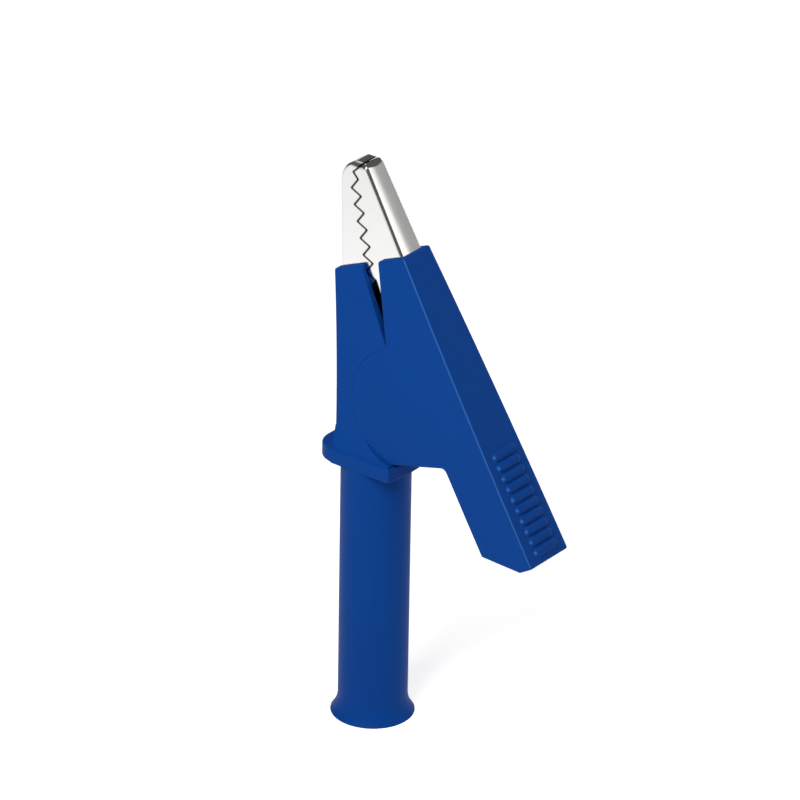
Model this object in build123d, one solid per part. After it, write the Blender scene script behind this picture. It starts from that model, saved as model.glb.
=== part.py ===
"""Insulated crocodile clip standing on a plug socket sleeve.

Frame: origin at the centre of the sleeve's mouth, +Z up the sleeve towards the jaws,
+X towards the lever, Y across the clip. Millimetres.
"""
from build123d import *
from math import acos, atan2, cos, degrees, hypot, radians, sin
import os

# Socket sleeve
sleeve_radius = 5.5
sleeve_wall = 0.95
sleeve_length = 44.15
mouth_flare = 1.15
mouth_flare_height = 3.3
mouth_lip = 0.4

# Contact for a plug pin, and the insulating tube around it
pin_bore = 2.0
contact_wall = 0.7
contact_recess = 4.0
contact_depth = 22.0
contact_lead_in = 0.35
contact_neck = 2.1
contact_neck_length = 6.5
contact_fit = 0.04
insulator_wall = 0.75
insulator_recess = 2.0
insulator_seat = 3.0
shroud_depth = 26.0
spigot_radius = 1.4
spigot_head_radius = 2.0
spigot_head_height = 0.8
washer_radius = 2.3
washer_thickness = 0.4

# Finger collar on top of the sleeve, and the skirt that runs from it up the flanks
collar_height = 2.35
collar_left = 8.3
collar_right = 6.7
collar_bulge = 0.5
collar_half_width = 5.6
collar_corner = 4.0
collar_edge = 0.3
skirt_height = 3.8
skirt_top_half = 4.38
floor_height = 0.8

# Pivot, placed from the sleeve axis and from the top of the collar
pivot_offset = 8.54
pivot_height = 10.16
rivet_radius = 1.25
rivet_head_radius = 2.1
rivet_head_height = 0.45
rivet_fit = 0.02
running_fit = 0.05
bush_wall = 0.6
trim = 0.02

# Flanks: half the thickness of both covers at three heights from the pivot
flank_top_height = 25.4
flank_top_half = 3.2
flank_mid_height = 5.3
flank_mid_half = 4.15
flank_foot_height = -21.7
flank_foot_half = 4.7

# Fixed cover: distances left of the sleeve axis and heights above the pivot
cover_mouth_left = 5.95
cover_mouth_height = 19.3
cover_waist_left = 4.78
cover_waist_height = 1.3
cover_foot_left = 4.6
notch_left = 0.85
notch_rise = 2.2
cover_edge = 0.35

# Lever cover, in the lever's frame: u runs up the lever, v runs out to its thumb face
lever_lean = 31.4
lever_mouth = 22.0
lever_tail = 28.8
lever_face = 11.66
lever_inner = 3.0
lever_wall = 0.75
lever_elbow = 10.2
lever_elbow_round = 1.0
tail_break = 2.65
tail_rise = 4.0
mouth_width = 5.0
mouth_rise = 0.8
ear_radius = 10.07
ear_notch_angle = 112.5
ear_foot_angle = 257.7
seam_gap = 0.03

# Thumb grip
rib_count = 10
rib_pitch = 1.75
rib_radius = 0.95
rib_height = 0.5
rib_half_length = 2.9
rib_tail_margin = 1.9

# Jaws, pressed from one thickness of sheet
sheet = 0.5
jaw_half_width = 2.6
taper_height = 21.0
nose_half_width = 2.1
nose_round = 0.9
jaw_bend = 0.5
jaw_crown = 0.15
nest_gap = 0.08
cavity_gap = 0.1
jaw_gap = 0.05
hole_arc = 0.8

# Teeth, counted up from the lowest valley, which is placed from the pivot
tooth_lean = 14.6
tooth_pitch = 2.65
tooth_depth = 1.6
tooth_count = 6
bite_gap = 0.22
bite_left = 7.21
bite_height = 19.24

# Fixed jaw: distances left of the sleeve axis and heights above the pivot
fixed_foot_left = 3.75
fixed_foot_height = 1.3
fixed_mouth_left = 5.4
fixed_mouth_height = 19.8
fixed_shoulder_left = 6.0
fixed_shoulder_height = 33.9
fixed_base_right = 2.4
fixed_base_rise = 2.5
joggle_height = 10.8
joggle_length = 1.0
wire_hole_left = 0.9
wire_hole_height = 10.9
wire_hole_right = 4.5
jaw_ear_radius = 3.4
fixed_ear_start = 75
fixed_ear_end = -60
moving_ear_start = 150
moving_ear_middle = 215
moving_ear_end = 280

# Both tips: how far left of the pivot and how high above it
tip_left = 10.45
tip_height = 37.35
lip_left = 0.99
lip_rise = 0.98

# Moving jaw along its straight web: the arm below the pivot and the beak above it
web_lean = 30.4
arm_length = 22.0
arm_width = 4.6
arm_waist = 8.5
beak_reach = 36.0

# Torsion spring
wire_radius = 0.4
coil_radius = 2.45
coil_turns = 2
coil_pitch = 0.88
spring_lever_reach = 13.0
spring_back_drop = 4.5

# Places that follow from the sizes above
collar_top = sleeve_length + collar_height
floor_z = collar_top + floor_height
pivot_x = pivot_offset
pivot_z = collar_top + pivot_height
nest_half = jaw_half_width + nest_gap
ear_half = nest_half + sheet
cavity_half = ear_half + cavity_gap
splay = radians(lever_lean - web_lean)
web_face = (lever_face - lever_wall - jaw_gap) * cos(splay) - lever_mouth * sin(splay)
far = 2 * (pivot_z + tip_height)


def at(x, z):
    """Point given from the pivot in the side view."""
    return (pivot_x + x, pivot_z + z)


def tilted(lean, u, v):
    """Point in a frame that leans from the upright by an angle in degrees: u up it, v out."""
    turn = radians(lean)
    return at(v * cos(turn) - u * sin(turn), v * sin(turn) + u * cos(turn))


def lever(u, v):
    """Point in the lever cover's frame."""
    return tilted(lever_lean, u, v)


def web(u, v):
    """Point in the frame of the moving jaw's web."""
    return tilted(web_lean, u, v)


def round_pivot(radius, angle):
    """Point on a circle round the pivot, with the angle in degrees from +X."""
    return at(radius * cos(radians(angle)), radius * sin(radians(angle)))


def side_face(*edges):
    """Closed side-view face from edges that follow each other."""
    return make_face(Curve() + list(edges))


def polygon(*points):
    """Closed side-view face with straight sides."""
    return make_face(Polyline(*points, close=True))


def across(face, half):
    """Solid of a side-view face, reaching half to each side of the middle plane."""
    return extrude(Plane.XZ * face, amount=half, both=True)


def lengthwise(face):
    """Solid of an end-view face, run along X right through the clip."""
    return extrude(Plane.YZ * face, amount=far, both=True)


def pin(x, z, radius, half):
    """Round bar across the clip."""
    return across(Pos(x, z) * Circle(radius), half)


def upright(radius, low, high):
    """Round bar on the sleeve's axis."""
    return Pos(0, 0, low) * extrude(Circle(radius), amount=high - low)


def flank_half_arc(side):
    """The gently crowned flank of both covers, seen from the end."""
    return ThreePointArc(
        (side * flank_top_half, pivot_z + flank_top_height),
        (side * flank_mid_half, pivot_z + flank_mid_height),
        (side * flank_foot_half, pivot_z + flank_foot_height),
    )


def flank_section():
    """End view of the covers: narrow at the mouth, full at the tail, upright past both."""
    right = flank_half_arc(1)
    left = flank_half_arc(-1)
    return side_face(
        right,
        Polyline(right @ 1, (flank_foot_half, -far), (-flank_foot_half, -far), left @ 1),
        left,
        Polyline(left @ 0, (-flank_top_half, far), (flank_top_half, far), right @ 0),
    )


def skirt_section():
    """End view of the skirt that widens the fixed cover's flanks to the collar."""
    low = sleeve_length
    rise = collar_top + skirt_height
    return polygon(
        (-collar_half_width, low),
        (collar_half_width, low),
        (collar_half_width, collar_top - collar_height / 2),
        (skirt_top_half, rise),
        (-skirt_top_half, rise),
        (-collar_half_width, collar_top - collar_height / 2),
    )


def cavity_section(half_low, half_high):
    """End view of the room for the jaws: wide at the nested ears, close at the mouth."""
    step = pivot_z + joggle_height + joggle_length
    return polygon(
        (-half_low, -far),
        (half_low, -far),
        (half_low, step),
        (half_high, step + joggle_length),
        (half_high, far),
        (-half_high, far),
        (-half_high, step + joggle_length),
        (-half_low, step),
    )


def cavity_room():
    return lengthwise(cavity_section(cavity_half, jaw_half_width + cavity_gap))


def along(edge, start, end):
    """True for an edge whose middle lies on the side-view line through two points."""
    middle = edge @ 0.5
    run = hypot(end[0] - start[0], end[1] - start[1])
    rise = (middle.X - start[0]) * (end[1] - start[1])
    return abs(rise - (middle.Z - start[1]) * (end[0] - start[0])) < seam_gap * run


def outside_of(edge, start, end):
    """True for an edge whose middle lies left of the way from one side-view point to another."""
    middle = edge @ 0.5
    turn = (end[0] - start[0]) * (middle.Z - start[1]) - (end[1] - start[1]) * (middle.X - start[0])
    return turn > 0


def sleeve():
    """Sleeve with a trumpet mouth, bored for the shroud of a plug and stepped inside."""
    bore = sleeve_radius - sleeve_wall
    hole = pin_bore + contact_wall + contact_fit
    seat = hole + insulator_wall + contact_fit
    mouth = sleeve_radius + mouth_flare
    outside = TangentArc((sleeve_radius, mouth_flare_height), (mouth, 0), tangent=(0, -1))
    inside = TangentArc((bore, mouth_flare_height), (mouth - mouth_lip, 0), tangent=(0, -1))
    section = side_face(
        outside,
        Line((mouth, 0), (mouth - mouth_lip, 0)),
        inside,
        Polyline(
            (bore, mouth_flare_height),
            (bore, shroud_depth),
            (seat, shroud_depth),
            (seat, shroud_depth + insulator_seat),
            (hole, shroud_depth + insulator_seat),
            (hole, sleeve_length),
            (sleeve_radius, sleeve_length),
            (sleeve_radius, mouth_flare_height),
        ),
    )
    return revolve(Plane.XZ * section, axis=Axis.Z)


def collar():
    """Finger collar: round at the back, square at the lever, slightly bowed there."""
    side = collar_half_width
    face = side_face(
        Line((collar_right, side), (-collar_left, side)),
        Line((-collar_left, side), (-collar_left, -side)),
        Line((-collar_left, -side), (collar_right, -side)),
        ThreePointArc(
            (collar_right, -side),
            (collar_right + collar_bulge, 0),
            (collar_right, side),
        ),
    )
    face = fillet(face.vertices().sort_by(Axis.X)[:2], collar_corner)
    solid = Pos(0, 0, sleeve_length) * extrude(face, amount=collar_height)
    rims = solid.edges().filter_by(lambda e: abs((e @ 0).Z - (e @ 1).Z) < seam_gap)
    return fillet(rims, collar_edge)


def fixed_cover():
    """Blank of the fixed cover, flush with the lever cover on both flanks."""
    mouth = (-cover_mouth_left, pivot_z + cover_mouth_height)
    waist = (-cover_waist_left, pivot_z + cover_waist_height)
    foot = (-cover_foot_left, sleeve_length)
    notch_top = (-notch_left, pivot_z + cover_mouth_height + notch_rise)
    recess = ear_radius + seam_gap
    low = round_pivot(recess, ear_foot_angle)
    face = side_face(
        ThreePointArc(foot, waist, mouth),
        Line(mouth, notch_top),
        Line(notch_top, round_pivot(recess, ear_notch_angle)),
        ThreePointArc(round_pivot(recess, ear_notch_angle), round_pivot(recess, 180), low),
        Line(low, (low[0], sleeve_length)),
        Line((low[0], sleeve_length), foot),
    )
    blank = across(face, far)
    box = blank & lengthwise(flank_section())
    back = [e for e in box.edges() if (e @ 0.5).X < -fixed_foot_left and (e @ 0.5).Z > collar_top]
    rim = [e for e in box.edges() if along(e, mouth, notch_top)]
    box = fillet(back + [e for e in rim if e not in back], cover_edge)
    return box + (blank & lengthwise(skirt_section()))


def jaw_room():
    """Space for the jaws inside the fixed cover, open to the lever."""
    return across(
        polygon(
            (-fixed_foot_left - jaw_gap, floor_z),
            (-fixed_foot_left - jaw_gap, pivot_z + fixed_foot_height),
            (-fixed_mouth_left - jaw_gap, pivot_z + fixed_mouth_height),
            (-fixed_mouth_left - jaw_gap, far + floor_z),
            (far, far + floor_z),
            (far, floor_z),
        ),
        far,
    ) & cavity_room()


def insulating_body():
    """Sleeve, collar and fixed cover as one moulding."""
    shoulder = floor_z - contact_neck_length
    body = sleeve() + collar() + fixed_cover()
    body -= jaw_room()
    body -= pin(pivot_x, pivot_z, ear_radius + seam_gap, far)
    body -= upright(pin_bore + contact_wall + contact_fit, sleeve_length, shoulder)
    return body - upright(contact_neck + contact_fit, shoulder, floor_z)


def floor_line(depth):
    """Top of the floor between the lever's ears: its elbow end and its end at the seam."""
    elbow = lever(-lever_elbow, lever_inner)
    foot = round_pivot(ear_radius, ear_foot_angle)
    run = hypot(foot[0] - elbow[0], foot[1] - elbow[1])
    dx = (foot[0] - elbow[0]) / run
    dz = (foot[1] - elbow[1]) / run
    reach = abs(dx * (pivot_z - elbow[1]) - dz * (pivot_x - elbow[0]))
    at_seam = round_pivot(ear_radius * (reach - depth) / reach, ear_foot_angle)
    return (elbow[0] + dz * depth, elbow[1] - dx * depth), at_seam


def lever_blank():
    """Outside of the lever cover: two round ears, a mouth and a broken tail."""
    corner = lever(lever_mouth, lever_face)
    tail = lever(-lever_tail, lever_face)
    chin = lever(-lever_tail, lever_face - tail_break)
    heel = lever(-lever_tail + tail_rise, lever_inner)
    elbow = lever(-lever_elbow, lever_inner)
    foot = round_pivot(ear_radius, ear_foot_angle)
    notch = round_pivot(ear_radius, ear_notch_angle)
    notch_top = lever(lever_mouth + mouth_rise, lever_face - mouth_width)
    face = side_face(
        Polyline(notch, notch_top, corner, tail, chin, heel, elbow, foot),
        ThreePointArc(foot, round_pivot(ear_radius, 180), notch),
    )
    near_elbow = face.vertices().sort_by_distance((elbow[0], elbow[1], 0))[0]
    face = fillet(near_elbow, lever_elbow_round)
    blank = across(face, far) & lengthwise(flank_section())
    turns = [(notch_top, corner), (corner, tail), (tail, chin), (chin, heel), (heel, elbow), (elbow, foot)]
    edges = [e for e in blank.edges() if any(along(e, *turn) for turn in turns)]
    return fillet(edges, cover_edge)


def grip_ribs():
    """Transverse ribs on the thumb face, each a bar with round ends, half sunk in."""
    v = lever_face - rib_radius + rib_height
    ribs = []
    for i in range(rib_count):
        u = -lever_tail + rib_tail_margin + i * rib_pitch
        x, z = lever(u, v)
        bar = pin(x, z, rib_radius, rib_half_length - rib_radius)
        for side in (-1, 1):
            y = side * (rib_half_length - rib_radius)
            bar += Pos(x, y, z) * Sphere(rib_radius)
        ribs.append(bar)
    return ribs


def lever_room():
    """Space inside the lever cover, open at the mouth and towards the fixed cover."""
    face_in = web_face + jaw_gap
    back_in = lever_inner + lever_wall
    at_elbow, at_seam = floor_line(lever_wall)
    past_seam = round_pivot(ear_radius + lever_wall, ear_foot_angle)
    return across(
        polygon(
            web(far, face_in),
            web(-lever_tail + 2 * lever_wall, face_in),
            lever(-lever_tail + 2 * lever_wall, lever_face - tail_break),
            lever(-lever_tail + tail_rise + 2 * lever_wall, back_in),
            lever(-lever_elbow - lever_wall, back_in),
            at_elbow,
            at_seam,
            past_seam,
            (-far, past_seam[1]),
            (-far, 3 * far),
        ),
        far,
    ) & cavity_room()


def lever_cover():
    cover = lever_blank()
    for rib in grip_ribs():
        cover += rib
    cover -= lever_room()
    pocket = ear_half + rivet_head_height + cavity_gap
    return cover - pin(pivot_x, pivot_z, rivet_head_radius + cavity_gap, pocket)


def bite_edge(gap):
    """Zig-zag between the jaws, from the lowest valley up to the lip, moved by a gap."""
    up = (-sin(radians(tooth_lean)), cos(radians(tooth_lean)))
    out = (cos(radians(tooth_lean)), sin(radians(tooth_lean)))
    points = []
    for i in range(tooth_count + 1):
        rise = i * tooth_pitch
        points.append((rise * up[0], rise * up[1]))
        if i < tooth_count:
            rise += tooth_pitch / 2
            points.append((rise * up[0] - tooth_depth * out[0], rise * up[1] - tooth_depth * out[1]))
    last = points[-1]
    points.append((last[0] - lip_left, last[1] + lip_rise))
    return [at(x - bite_left + gap * out[0], z + bite_height + gap * out[1]) for x, z in points]


def web_crown(drop):
    """Large round bar along the moving jaw, whose top crowns the web, made smaller by a drop."""
    radius = jaw_half_width ** 2 / (2 * jaw_crown)
    x, z = web(-far, web_face - radius)
    along_web = radians(web_lean)
    seat = Plane(origin=(x, 0, z), x_dir=(0, 1, 0), z_dir=(-sin(along_web), 0, cos(along_web)))
    return extrude(seat * Circle(radius - drop), amount=3 * far)


def jaw_section(low_half, drop):
    """End view of a jaw's channel, from its ears through the joggle to the narrow nose."""
    half = jaw_half_width - drop
    nose = nose_half_width - drop
    low = pivot_z + joggle_height - joggle_length
    high = pivot_z + joggle_height
    taper = pivot_z + taper_height
    top = pivot_z + tip_height
    return polygon(
        (-low_half, -far),
        (low_half, -far),
        (low_half, low),
        (half, high),
        (half, taper),
        (nose, top),
        (nose, far),
        (-nose, far),
        (-nose, top),
        (-half, taper),
        (-half, high),
        (-low_half, low),
    )


def nose_section():
    """End view that rounds the noses of both jaws and leaves all below them whole."""
    half = nose_half_width + trim
    top = pivot_z + tip_height
    low = top - nose_round
    flat = half - nose_round
    return side_face(
        Polyline((-half, low), (-far, low), (-far, -far), (far, -far), (far, low), (half, low)),
        CenterArc((flat, low), nose_round, 0, 90),
        Line((flat, top), (-flat, top)),
        CenterArc((-flat, low), nose_round, 90, 90),
    )


def bent(blank, on_bend):
    """Jaw blank with its long bends rounded, on the edges that a test picks off the middle plane."""
    bends = [e for e in blank.edges() if abs((e @ 0.5).Y) > nest_gap and on_bend(e)]
    return fillet(bends, jaw_bend) & lengthwise(nose_section())


def fixed_jaw():
    """Folded channel: teeth, joggled ears for the rivet and a base tab for the contact."""
    hole = pivot_z + wire_hole_height
    base = floor_z
    tip = at(-tip_left, tip_height)
    shoulder = (-fixed_shoulder_left, pivot_z + fixed_shoulder_height)
    mouth = (-fixed_mouth_left, pivot_z + fixed_mouth_height)
    waist = (-fixed_foot_left, pivot_z + fixed_foot_height)
    bite = bite_edge(0)
    ear_top = round_pivot(jaw_ear_radius, fixed_ear_start)
    ear_low = round_pivot(jaw_ear_radius, fixed_ear_end)
    profile = side_face(
        Polyline((-fixed_foot_left, base), waist, mouth, shoulder),
        TangentArc(shoulder, tip, tangent=(0, 1)),
        Polyline(tip, *reversed(bite)),
        Polyline(
            bite[0],
            (-wire_hole_left, pivot_z + bite_height - 2 * tooth_depth),
            (-wire_hole_left, hole + hole_arc),
            (-wire_hole_left + hole_arc, hole),
            (ear_top[0] - wire_hole_right, hole),
            ear_top,
        ),
        ThreePointArc(ear_top, round_pivot(jaw_ear_radius, 0), ear_low),
        Polyline(
            ear_low,
            (fixed_base_right, base + fixed_base_rise),
            (fixed_base_right, base),
            (-fixed_foot_left, base),
        ),
    )
    hollow = side_face(
        Polyline((far, base + sheet), (-fixed_foot_left + sheet, base + sheet)),
        Polyline(
            (-fixed_foot_left + sheet, base + sheet),
            (waist[0] + sheet, waist[1]),
            (mouth[0] + sheet, mouth[1]),
            (shoulder[0] + sheet, shoulder[1]),
        ),
        TangentArc((shoulder[0] + sheet, shoulder[1]), (tip[0], tip[1] - sheet), tangent=(0, 1)),
        Polyline((tip[0], tip[1] - sheet), (far, tip[1] - sheet), (far, base + sheet)),
    )
    blank = across(profile, far) & lengthwise(jaw_section(ear_half, 0))
    jaw = bent(blank, lambda e: along(e, mouth, shoulder) or outside_of(e, shoulder, tip))
    jaw -= across(hollow, far) & lengthwise(jaw_section(nest_half, sheet))
    jaw -= pin(pivot_x, pivot_z, rivet_radius + rivet_fit, far)
    return jaw - upright(spigot_radius + contact_fit, base - sheet, base + 2 * sheet)


def moving_jaw():
    """Folded channel: teeth, inner ears and the arm that fills the lever cover."""
    tip = web(beak_reach, web_face + trim)
    bite = bite_edge(bite_gap)
    ear_high = round_pivot(jaw_ear_radius, moving_ear_start)
    ear_low = round_pivot(jaw_ear_radius, moving_ear_end)
    lip = at(-tip_left + bite_gap, tip_height)
    profile = side_face(
        Polyline(
            ear_low,
            lever(-arm_waist, lever_inner + lever_wall + cavity_gap),
            web(-arm_length, web_face - arm_width),
            web(-arm_length, web_face + trim),
            tip,
        ),
        TangentArc(tip, lip, tangent=(-sin(radians(web_lean)), cos(radians(web_lean)))),
        Polyline(lip, *reversed(bite)),
        Polyline(
            bite[0],
            lever(lever_mouth - wire_hole_right, wire_hole_right - hole_arc),
            lever(lever_mouth - 2 * wire_hole_right, wire_hole_right),
            ear_high,
        ),
        ThreePointArc(ear_high, round_pivot(jaw_ear_radius, moving_ear_middle), ear_low),
    )
    inner_tip = web(beak_reach - sheet, web_face)
    hollow = polygon(web(-far, web_face), inner_tip, (-far, inner_tip[1]), (-far, -far))
    high, low = web(far, web_face - jaw_bend), web(-far, web_face - jaw_bend)
    blank = across(profile, far) & web_crown(0) & lengthwise(jaw_section(jaw_half_width, 0))
    jaw = bent(blank, lambda e: outside_of(e, high, low))
    jaw -= across(hollow, far) & web_crown(sheet) & lengthwise(jaw_section(jaw_half_width - sheet, sheet))
    return jaw - pin(pivot_x, pivot_z, rivet_radius + running_fit, far)


def contact_socket():
    """Turned contact: a bored lower end, a neck through the floor and a swaged spigot."""
    outer = pin_bore + contact_wall
    shoulder = floor_z - contact_neck_length
    swage = floor_z + sheet + washer_thickness
    bore_end = contact_recess + contact_depth
    turned = upright(outer, contact_recess, shoulder - contact_fit)
    turned += upright(contact_neck, shoulder - contact_fit, floor_z)
    turned += upright(spigot_radius, floor_z, swage)
    head = upright(spigot_head_radius, swage, swage + spigot_head_height)
    turned += fillet(head.edges().sort_by(Axis.Z)[-1], spigot_head_height / 2)
    turned -= upright(pin_bore, contact_recess, bore_end)
    lead = Cone(pin_bore, pin_bore + contact_lead_in, contact_lead_in)
    turned -= Pos(0, 0, contact_recess + contact_lead_in / 2) * Rot(180, 0, 0) * lead
    return turned


def contact_insulator():
    """Tube round the contact that keeps fingers off it, seated in the sleeve's step."""
    hole = pin_bore + contact_wall + contact_fit
    top = shroud_depth + insulator_seat
    tube = upright(hole + insulator_wall, insulator_recess, top)
    return tube - upright(hole, insulator_recess, top)


def socket_washer():
    """Plain washer under the swaged head."""
    low = floor_z + sheet
    ring = upright(washer_radius, low, low + washer_thickness)
    return ring - upright(spigot_radius + contact_fit, low, low + washer_thickness)


def pivot_rivet():
    """Rivet through all four ears, with a low head on each side."""
    rivet = pin(pivot_x, pivot_z, rivet_radius, ear_half + rivet_head_height)
    heads = pin(pivot_x, pivot_z, rivet_head_radius, ear_half + rivet_head_height)
    heads = chamfer(heads.edges().filter_by(GeomType.CIRCLE), rivet_head_height / 2)
    return rivet + (heads - pin(pivot_x, pivot_z, far, ear_half))


def pivot_bush():
    """Bush that carries the coil and keeps the moving jaw's ears apart."""
    inner = rivet_radius + rivet_fit
    half = jaw_half_width - sheet - running_fit
    bush = pin(pivot_x, pivot_z, inner + bush_wall, half)
    return bush - pin(pivot_x, pivot_z, inner, far)


def tangent_angle(x, z, side):
    """Angle on the coil, in degrees, where a straight leg from a point touches it."""
    return degrees(atan2(z, x)) + side * degrees(acos(coil_radius / hypot(x, z)))


def torsion_spring():
    """Coil round the bush, one leg on the lever's web and one on the fixed jaw's back."""
    v = web_face - sheet - wire_radius - running_fit
    on_lever = web(-spring_lever_reach, v)
    on_back = (-fixed_foot_left + sheet + wire_radius + running_fit, pivot_z - spring_back_drop)
    start = tangent_angle(on_lever[0] - pivot_x, on_lever[1] - pivot_z, 1)
    end = tangent_angle(on_back[0] - pivot_x, on_back[1] - pivot_z, -1)
    height = (coil_turns + ((end - start) % 360) / 360) * coil_pitch
    seat = Plane(
        origin=(pivot_x, height / 2, pivot_z),
        x_dir=(cos(radians(start)), 0, sin(radians(start))),
        z_dir=(0, -1, 0),
    )
    coil = seat.location * Helix(pitch=coil_pitch, height=height, radius=coil_radius)
    near = (on_lever[0], height / 2, on_lever[1])
    back = (on_back[0], -height / 2, on_back[1])
    path = Wire([
        TangentArc(coil @ 0, near, tangent=-(coil % 0)),
        coil,
        TangentArc(coil @ 1, back, tangent=coil % 1),
    ])
    return sweep(Plane(origin=path @ 0, z_dir=path % 0) * Circle(wire_radius), path=path)


def save(name, solid):
    solid.label = name
    export_step(solid, "parts/" + name + ".step")
    print(name, round(solid.volume, 2), "mm3,", len(solid.solids()), "solid")


os.makedirs("parts", exist_ok=True)
save("insulating_body", insulating_body())
save("lever_cover", lever_cover())
save("fixed_jaw", fixed_jaw())
save("moving_jaw", moving_jaw())
save("contact_socket", contact_socket())
save("contact_insulator", contact_insulator())
save("socket_washer", socket_washer())
save("pivot_rivet", pivot_rivet())
save("pivot_bush", pivot_bush())
save("torsion_spring", torsion_spring())
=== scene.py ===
# %% [markdown]
# # An insulated crocodile clip
#
# The clip stands on its plug sleeve, as in a shop photograph. Every shape was made in CAD, so this
# lesson is about its looks: blue plastic, bright nickel on pressed steel, and the light of a small
# white studio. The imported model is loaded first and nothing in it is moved.

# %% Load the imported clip
from math import cos, radians, sin

import bpy
from mathutils import Matrix, Vector


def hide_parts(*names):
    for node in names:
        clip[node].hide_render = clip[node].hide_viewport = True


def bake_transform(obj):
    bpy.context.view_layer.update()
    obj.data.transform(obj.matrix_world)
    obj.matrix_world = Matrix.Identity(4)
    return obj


MM = 0.001

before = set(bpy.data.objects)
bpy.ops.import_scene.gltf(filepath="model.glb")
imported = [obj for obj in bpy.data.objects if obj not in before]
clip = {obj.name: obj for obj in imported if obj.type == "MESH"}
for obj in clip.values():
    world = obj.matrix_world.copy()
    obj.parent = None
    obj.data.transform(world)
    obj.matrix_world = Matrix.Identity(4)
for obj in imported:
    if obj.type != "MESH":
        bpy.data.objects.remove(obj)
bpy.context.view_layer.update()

# %% [markdown]
# A colour on screen is written as a hex value, but the renderer counts light, so each value is turned
# to linear once, here. A material is a small graph of nodes. One helper adds a node, sets its values
# and joins its inputs, so every recipe below reads as a list of what the surface has.


# %% Colour and node helpers
def linear(hex_value):
    """Linear red, green and blue of a hex value, by the sRGB standard's curve, and full alpha."""
    parts = [int(hex_value[i:i + 2], 16) / 255 for i in (1, 3, 5)]
    return [p / 12.92 if p <= 0.04045 else ((p + 0.055) / 1.055) ** 2.4 for p in parts] + [1.0]


def add_node(tree, kind, links=(), **settings):
    """Adds a node; settings are its properties or input values, links are (input, output)."""
    node = tree.nodes.new(kind)
    for name, value in settings.items():
        if hasattr(node, name):
            setattr(node, name, value)
        else:
            node.inputs[name.replace("_", " ")].default_value = value
    for socket, source in links:
        tree.links.new(source, node.inputs[socket])
    return node


def new_material(name):
    """An empty node material, its tree and its output node."""
    material = bpy.data.materials.new(name)
    material.use_nodes = True
    tree = material.node_tree
    tree.nodes.clear()
    return material, tree, add_node(tree, "ShaderNodeOutputMaterial")


def give_finish(names, material):
    """Gives CAD pieces a material, and prints how many pieces got it."""
    for name in names:
        piece = clip[name]
        piece.data.materials.clear()
        piece.data.materials.append(material)
    print(material.name, "on", len(names), "pieces")


MID_GREY = "#808080"
print("mid grey gives back", round(100 * linear(MID_GREY)[0]), "percent of the light")

# %% [markdown]
# The covers and the sleeve are polyamide, coloured right through and moulded in a steel mould. The
# eye sees a deep even blue. Polyamide flows a little unevenly, so the colour drifts by a few percent
# over some 10 mm. That drift could be painted on an unwrapped surface, but a noise that fills space
# needs no unwrapping and stays on the piece when it moves.

# %% Blue moulded polyamide: colour
BLUE = "#0a4495"
BLUE_DEEP = "#083f8b"
FLOW_SIZE_MM = 11.0

polyamide, tree, out = new_material("moulded_polyamide_blue")
place = add_node(tree, "ShaderNodeTexCoord")
flow = add_node(
    tree, "ShaderNodeTexNoise", [("Vector", place.outputs["Object"])],
    Scale=1 / (FLOW_SIZE_MM * MM),
)
tint = add_node(
    tree, "ShaderNodeMix", [("Factor", flow.outputs["Fac"])],
    data_type="RGBA", A=linear(BLUE_DEEP), B=linear(BLUE),
)
print("the blue drifts over", FLOW_SIZE_MM, "mm")

# %% [markdown]
# The long ridge of the lever and the ends of its ribs get a painted highlight. This is a paler blue
# where the rounded edges would catch the lamps. A direction finds these places on both sides: it is
# where the surface faces half-way between the lever's face and its flank. The sleeve's flare faces
# that way in one spot too, so the painted highlight fades out above it.

# %% Blue moulded polyamide: painted highlight on the ridge
# Painted highlight: the paler blue below stands in for lamp light caught by the lever's rounded
# ridge.
BLUE_PAINTED_HIGHLIGHT = "#3c6eb4"
LEVER_FACE = Vector((0.853, 0.0, 0.521))
FLANK = Vector((0.0, 1.0, 0.0))
RIDGE_FACING = (LEVER_FACE + FLANK).normalized()
HIGHLIGHT_BEGINS = 0.93
HIGHLIGHT_FULL = 0.99
HIGHLIGHT_MOST = 0.7
HIGHLIGHT_FROM_MM = 24.0
HIGHLIGHT_FADE_MM = 2.0

either_side = add_node(
    tree, "ShaderNodeVectorMath", [(0, place.outputs["Normal"])], operation="ABSOLUTE",
)
towards_ridge = add_node(
    tree, "ShaderNodeVectorMath", [(0, either_side.outputs[0])], operation="DOT_PRODUCT",
)
towards_ridge.inputs[1].default_value = RIDGE_FACING
ridge_highlight = add_node(
    tree, "ShaderNodeMapRange", [("Value", towards_ridge.outputs["Value"])],
    From_Min=HIGHLIGHT_BEGINS, From_Max=HIGHLIGHT_FULL, To_Max=HIGHLIGHT_MOST,
)
height = add_node(tree, "ShaderNodeSeparateXYZ", [("Vector", place.outputs["Object"])])
above_flare = add_node(
    tree, "ShaderNodeMapRange", [("Value", height.outputs["Z"])],
    From_Min=HIGHLIGHT_FROM_MM * MM, From_Max=(HIGHLIGHT_FROM_MM + HIGHLIGHT_FADE_MM) * MM,
)
painted_highlight = add_node(
    tree, "ShaderNodeMath", [(0, ridge_highlight.outputs["Result"]), (1, above_flare.outputs["Result"])],
    operation="MULTIPLY",
)
colour = add_node(
    tree, "ShaderNodeMix", [("Factor", painted_highlight.outputs[0]), ("A", tint.outputs["Result"])],
    data_type="RGBA", B=linear(BLUE_PAINTED_HIGHLIGHT),
)
# The print gives how far the painted highlight goes towards the paler blue.
print("the ridge wears up to", HIGHLIGHT_MOST, "of the way to", BLUE_PAINTED_HIGHLIGHT)

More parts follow.
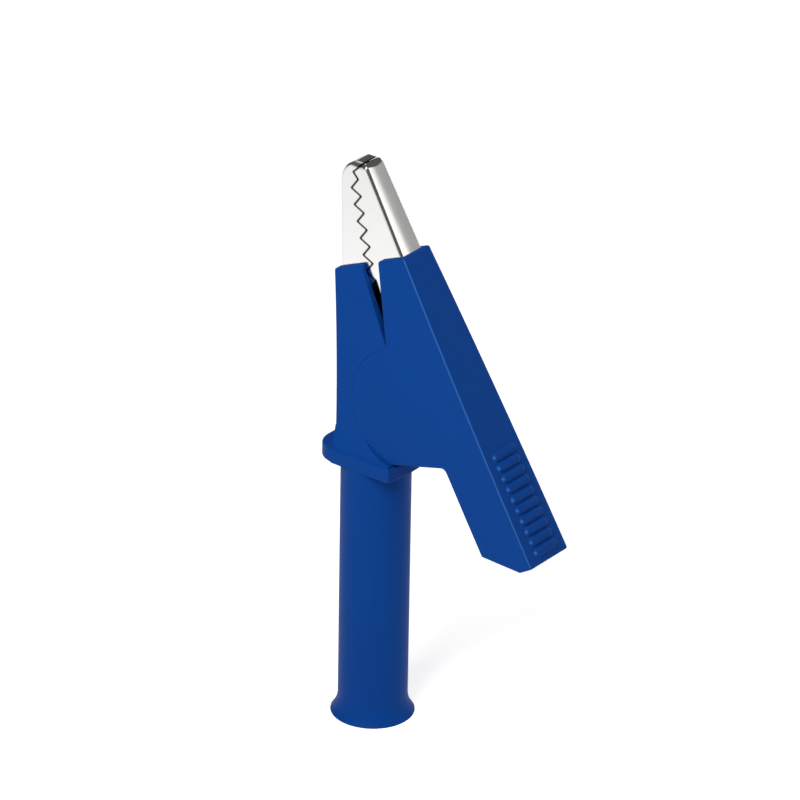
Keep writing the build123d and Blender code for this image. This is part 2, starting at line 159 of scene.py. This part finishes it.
# %% [markdown]
# The mould is spark-eroded to a fine grain, about 0.1 mm in truth. It is drawn at 0.25 mm, because
# anything finer can't show at this size. The grain scatters most of the reflection, so the shine is
# soft and held far below that of a polished piece. Such a shallow grain is a bump in the material:
# cut into the mesh it would take millions of faces.

# %% Blue moulded polyamide: grain and shine
GRAIN_MM = 0.25
GRAIN_DEPTH_MM = 0.05
GRAIN_STRENGTH = 0.06
GRAIN_DETAIL = 1.0
SATIN_SMOOTHEST = 0.46
SATIN_ROUGHEST = 0.54
POLYAMIDE_IOR = 1.53
WEAK_SHINE = 0.045

grain = add_node(
    tree, "ShaderNodeTexNoise", [("Vector", place.outputs["Object"])],
    Scale=1 / (GRAIN_MM * MM), Detail=GRAIN_DETAIL,
)
bump = add_node(
    tree, "ShaderNodeBump", [("Height", grain.outputs["Fac"])],
    Strength=GRAIN_STRENGTH, Distance=GRAIN_DEPTH_MM * MM,
)
gloss = add_node(
    tree, "ShaderNodeMapRange", [("Value", flow.outputs["Fac"])],
    To_Min=SATIN_SMOOTHEST, To_Max=SATIN_ROUGHEST,
)
plastic = add_node(
    tree, "ShaderNodeBsdfPrincipled",
    [
        ("Base Color", colour.outputs["Result"]),
        ("Normal", bump.outputs["Normal"]),
        ("Roughness", gloss.outputs["Result"]),
    ],
    IOR=POLYAMIDE_IOR, Specular_IOR_Level=WEAK_SHINE,
)
tree.links.new(plastic.outputs[0], out.inputs["Surface"])
give_finish(["insulating_body", "lever_cover", "contact_insulator"], polyamide)

# %% [markdown]
# The jaws are pressed from steel sheet and barrel plated with bright nickel. Nickel is a warm grey
# mirror, and the tumbling in the barrel leaves a faint cloudiness: the tint and the roughness wander
# a little over a few millimetres. What the eye reads as metal is what the plate reflects, so the
# lamps and the floor further down matter as much as this recipe.

# %% Bright nickel plate: colour
NICKEL = "#e4e4e3"
NICKEL_WARM = "#dcdbd9"
CLOUD_MM = 3.0
CLOUD_DETAIL = 3.0
CLOUD_CONTRAST = 0.55

nickel, tree, out = new_material("bright_nickel_plate")
place = add_node(tree, "ShaderNodeTexCoord")
clouds = add_node(
    tree, "ShaderNodeTexNoise", [("Vector", place.outputs["Object"])],
    Scale=1 / (CLOUD_MM * MM), Detail=CLOUD_DETAIL, Roughness=CLOUD_CONTRAST,
)
tint = add_node(
    tree, "ShaderNodeMix", [("Factor", clouds.outputs["Fac"])],
    data_type="RGBA", A=linear(NICKEL_WARM), B=linear(NICKEL),
)
print("the plate clouds over", CLOUD_MM, "mm")

# %% [markdown]
# The punch leaves a torn, slightly duller rim on every cut edge. The dark line drawn here along every
# edge is mostly a painted dark reflection, though: it stands in for the dim room that the edges
# mirror, and it draws the teeth as a dark line. It could be faces of its own with another material,
# but it runs round every tooth and hole. Short rays sent into the sheet find it instead, because near
# an edge they soon come out again.

# %% Bright nickel plate: painted dark edges and shine
NICKEL_DARK_EDGE_PAINTED = "#2b2a29"
DARK_EDGE_MM = 0.25
RIM_RAYS = 8
RIM_DARKEST = 0.5
RIM_ENDS = 0.95
PLATE_SMOOTHEST = 0.13
PLATE_ROUGHEST = 0.19

rim = add_node(
    tree, "ShaderNodeAmbientOcclusion", inside=True, only_local=True, samples=RIM_RAYS,
    Distance=DARK_EDGE_MM * MM,
)
painted_dark_edge = add_node(
    tree, "ShaderNodeMapRange", [("Value", rim.outputs["AO"])],
    From_Min=RIM_DARKEST, From_Max=RIM_ENDS, To_Min=1.0, To_Max=0.0,
)
# Painted dark reflection: near every edge the plate is mixed towards a near-black grey.
colour = add_node(
    tree, "ShaderNodeMix", [("Factor", painted_dark_edge.outputs["Result"]), ("A", tint.outputs["Result"])],
    data_type="RGBA", B=linear(NICKEL_DARK_EDGE_PAINTED),
)
gloss = add_node(
    tree, "ShaderNodeMapRange", [("Value", clouds.outputs["Fac"])],
    To_Min=PLATE_SMOOTHEST, To_Max=PLATE_ROUGHEST,
)
plate = add_node(
    tree, "ShaderNodeBsdfPrincipled",
    [("Base Color", colour.outputs["Result"]), ("Roughness", gloss.outputs["Result"])],
    Metallic=1.0,
)
tree.links.new(plate.outputs[0], out.inputs["Surface"])
give_finish(["fixed_jaw", "moving_jaw"], nickel)
give_finish(
    ["contact_socket", "socket_washer", "pivot_rivet", "pivot_bush"], nickel,
)

# %% [markdown]
# The torsion spring is bare drawn wire. The die scores it finely and leaves a thin film of dry
# lubricant, which makes it darker and duller than the plated parts. Scores that follow a coil would
# need the coil's own coordinates. It shows only when the clip is open, so a fine mottle does instead.

# %% Drawn spring wire
WIRE = "#8d8c8a"
WIRE_DARK = "#6d6b68"
WIRE_ROUGHNESS = 0.32
DRAW_MARK_MM = 0.3

wire, tree, out = new_material("drawn_spring_wire")
place = add_node(tree, "ShaderNodeTexCoord")
marks = add_node(
    tree, "ShaderNodeTexNoise", [("Vector", place.outputs["Object"])],
    Scale=1 / (DRAW_MARK_MM * MM),
)
tint = add_node(
    tree, "ShaderNodeMix", [("Factor", marks.outputs["Fac"])],
    data_type="RGBA", A=linear(WIRE_DARK), B=linear(WIRE),
)
drawn = add_node(
    tree, "ShaderNodeBsdfPrincipled", [("Base Color", tint.outputs["Result"])],
    Metallic=1.0, Roughness=WIRE_ROUGHNESS,
)
tree.links.new(drawn.outputs[0], out.inputs["Surface"])
give_finish(["torsion_spring"], wire)

# %% [markdown]
# A torsion spring winds up when the lever is pressed: the leg on the fixed jaw stays, the leg on the
# lever goes with it, and each coil between them turns a little more than the one before. The CAD wire
# is rigid, and left on one body its other leg would cut through a cover. So a copy of it takes its
# place here, with its placing baked into its mesh.


# %% Copy of the spring
def add_object(name, data):
    """Adds an object made of a mesh, a lamp or a lens to the scene."""
    added = bpy.data.objects.new(name, data)
    bpy.context.scene.collection.objects.link(added)
    return added


winding = add_object("torsion_spring_winding", clip["torsion_spring"].data.copy())
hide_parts("torsion_spring")
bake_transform(winding)

# %% [markdown]
# The clip stands on a wide white floor, and the camera looks down enough to see nothing else. The
# floor is plain white paint that takes the clip's soft shadow. More lamp light would whiten it and
# wash out the clip as well, so it gets a little light of its own instead. Only the camera, mirrors
# and glass see that light, and it lifts the floor from pale grey to the white of the picture.

# %% White floor
FLOOR_WHITE = "#f7f7f7"
FLOOR_HALF_M = 3.0
FLOOR_GLOW = 0.6

floor_paint, tree, out = new_material("white_matt_floor_paint")
path = add_node(tree, "ShaderNodeLightPath")
mirrored = add_node(
    tree, "ShaderNodeMath",
    [(0, path.outputs["Is Glossy Ray"]), (1, path.outputs["Is Transmission Ray"])],
    operation="MAXIMUM",
)
seen = add_node(
    tree, "ShaderNodeMath", [(0, path.outputs["Is Camera Ray"]), (1, mirrored.outputs[0])],
    operation="MAXIMUM",
)
glow = add_node(
    tree, "ShaderNodeMapRange", [("Value", seen.outputs[0])], To_Max=FLOOR_GLOW,
)
paint = add_node(tree, "ShaderNodeBsdfDiffuse", Color=linear(FLOOR_WHITE))
shining = add_node(tree, "ShaderNodeEmission", [("Strength", glow.outputs["Result"])])
both = add_node(tree, "ShaderNodeAddShader", [(0, paint.outputs[0]), (1, shining.outputs[0])])
tree.links.new(both.outputs[0], out.inputs["Surface"])

corners = [(-FLOOR_HALF_M, -FLOOR_HALF_M, 0), (FLOOR_HALF_M, -FLOOR_HALF_M, 0)]
corners += [(FLOOR_HALF_M, FLOOR_HALF_M, 0), (-FLOOR_HALF_M, FLOOR_HALF_M, 0)]
mesh = bpy.data.meshes.new("floor")
mesh.from_pydata(corners, [], [(0, 1, 2, 3)])
mesh.materials.append(floor_paint)
floor = add_object("floor", mesh)
print("floor", 2 * FLOOR_HALF_M, "m wide")

# %% [markdown]
# The camera is a long lens from the front right and above. Its direction, roll and distance were
# fitted to the picture's edges of the sleeve, the collar and the covers, and a long lens keeps the
# sleeve's sides nearly parallel. The point it looks at is half-way up the clip. A place round the
# clip is given by two angles: degrees round from the front, and degrees up from the floor.


# %% Camera
def direction(azimuth, elevation):
    """Unit vector from the clip towards a place round it."""
    a, e = radians(azimuth), radians(elevation)
    return Vector((sin(a) * cos(e), -cos(a) * cos(e), sin(e)))


AZIMUTH = 37.55
ELEVATION = 26.85
ROLL = 1.0
DISTANCE_MM = 892.0
AIM_MM = (4.41, -0.02, 55.65)
FOCAL_PIXELS = 5851.5
IMAGE_PIXELS = 800
SENSOR_MM = 36.0
SEEN_FROM_M = 0.05
SEEN_TO_M = 20.0

back = direction(AZIMUTH, ELEVATION)
right = direction(AZIMUTH + 90, 0)
up = back.cross(right)
level, tilt = cos(radians(ROLL)), sin(radians(ROLL))
axes = Matrix((right * level + up * tilt, up * level - right * tilt, back)).transposed()
lens = bpy.data.cameras.new("camera")
lens.sensor_width = SENSOR_MM
lens.lens = FOCAL_PIXELS / IMAGE_PIXELS * SENSOR_MM
lens.clip_start = SEEN_FROM_M
lens.clip_end = SEEN_TO_M
camera = add_object("camera", lens)
eye = Vector(AIM_MM) * MM + back * DISTANCE_MM * MM
camera.matrix_world = Matrix.Translation(eye) @ axes.to_4x4()
bpy.context.scene.camera = camera
print("lens", round(lens.lens, 1), "mm from", round(DISTANCE_MM), "mm")

# %% [markdown]
# Small things are lit by lamps that are large for them, so the shadow stays soft. A key lamp stands
# front left and high, close enough that the covers get more of it than the sleeve. A softbox in front
# fills the lever's face. The two on the right are for the metal: side by side they draw the moving
# jaw's back as a bright stroke that fades to grey, while the dark room between them and the camera
# leaves its front ridge a dark line. Two more light the sides that the camera doesn't see. One even
# dome of light would be simpler, but nickel under it looks like grey paint, so the walls of the room
# are only dim.

# %% Studio light
LAMP_AIM_M = Vector((0.004, 0.0, 0.055))
WALL_WHITE = "#ffffff"
WALL_LEVEL = 0.1
# Name, degrees round, degrees up, metres away, width and height in metres, watts
LAMPS = [
    ("key_lamp", 5, 45, 0.25, (0.12, 0.12), 0.44),
    ("front_softbox", 35, 50, 0.6, (0.35, 0.35), 0.75),
    ("right_softbox", 120, 16, 0.4, (0.18, 0.3), 0.24),
    ("back_right_softbox", 149, 14, 0.5, (0.28, 0.3), 0.09),
    ("back_softbox", 185, 14, 0.6, (0.35, 0.22), 0.7),
    ("left_softbox", 262, 42, 0.6, (0.35, 0.35), 0.3),
]

for name, azimuth, elevation, distance, size, watts in LAMPS:
    light = bpy.data.lights.new(name, "AREA")
    light.shape = "RECTANGLE"
    light.size, light.size_y = size
    light.energy = watts
    away = direction(azimuth, elevation)
    facing = away.to_track_quat("Z", "Y").to_matrix().to_4x4()
    add_object(name, light).matrix_world = Matrix.Translation(LAMP_AIM_M + away * distance) @ facing

world = bpy.data.worlds.new("studio_walls")
world.use_nodes = True
bpy.context.scene.world = world
walls = world.node_tree.nodes["Background"]
walls.inputs["Color"].default_value = linear(WALL_WHITE)
walls.inputs["Strength"].default_value = WALL_LEVEL
bpy.context.scene.view_settings.view_transform = "Standard"
print(len(LAMPS), "lamps, and walls at", WALL_LEVEL)

# %% End
print("scene set up")
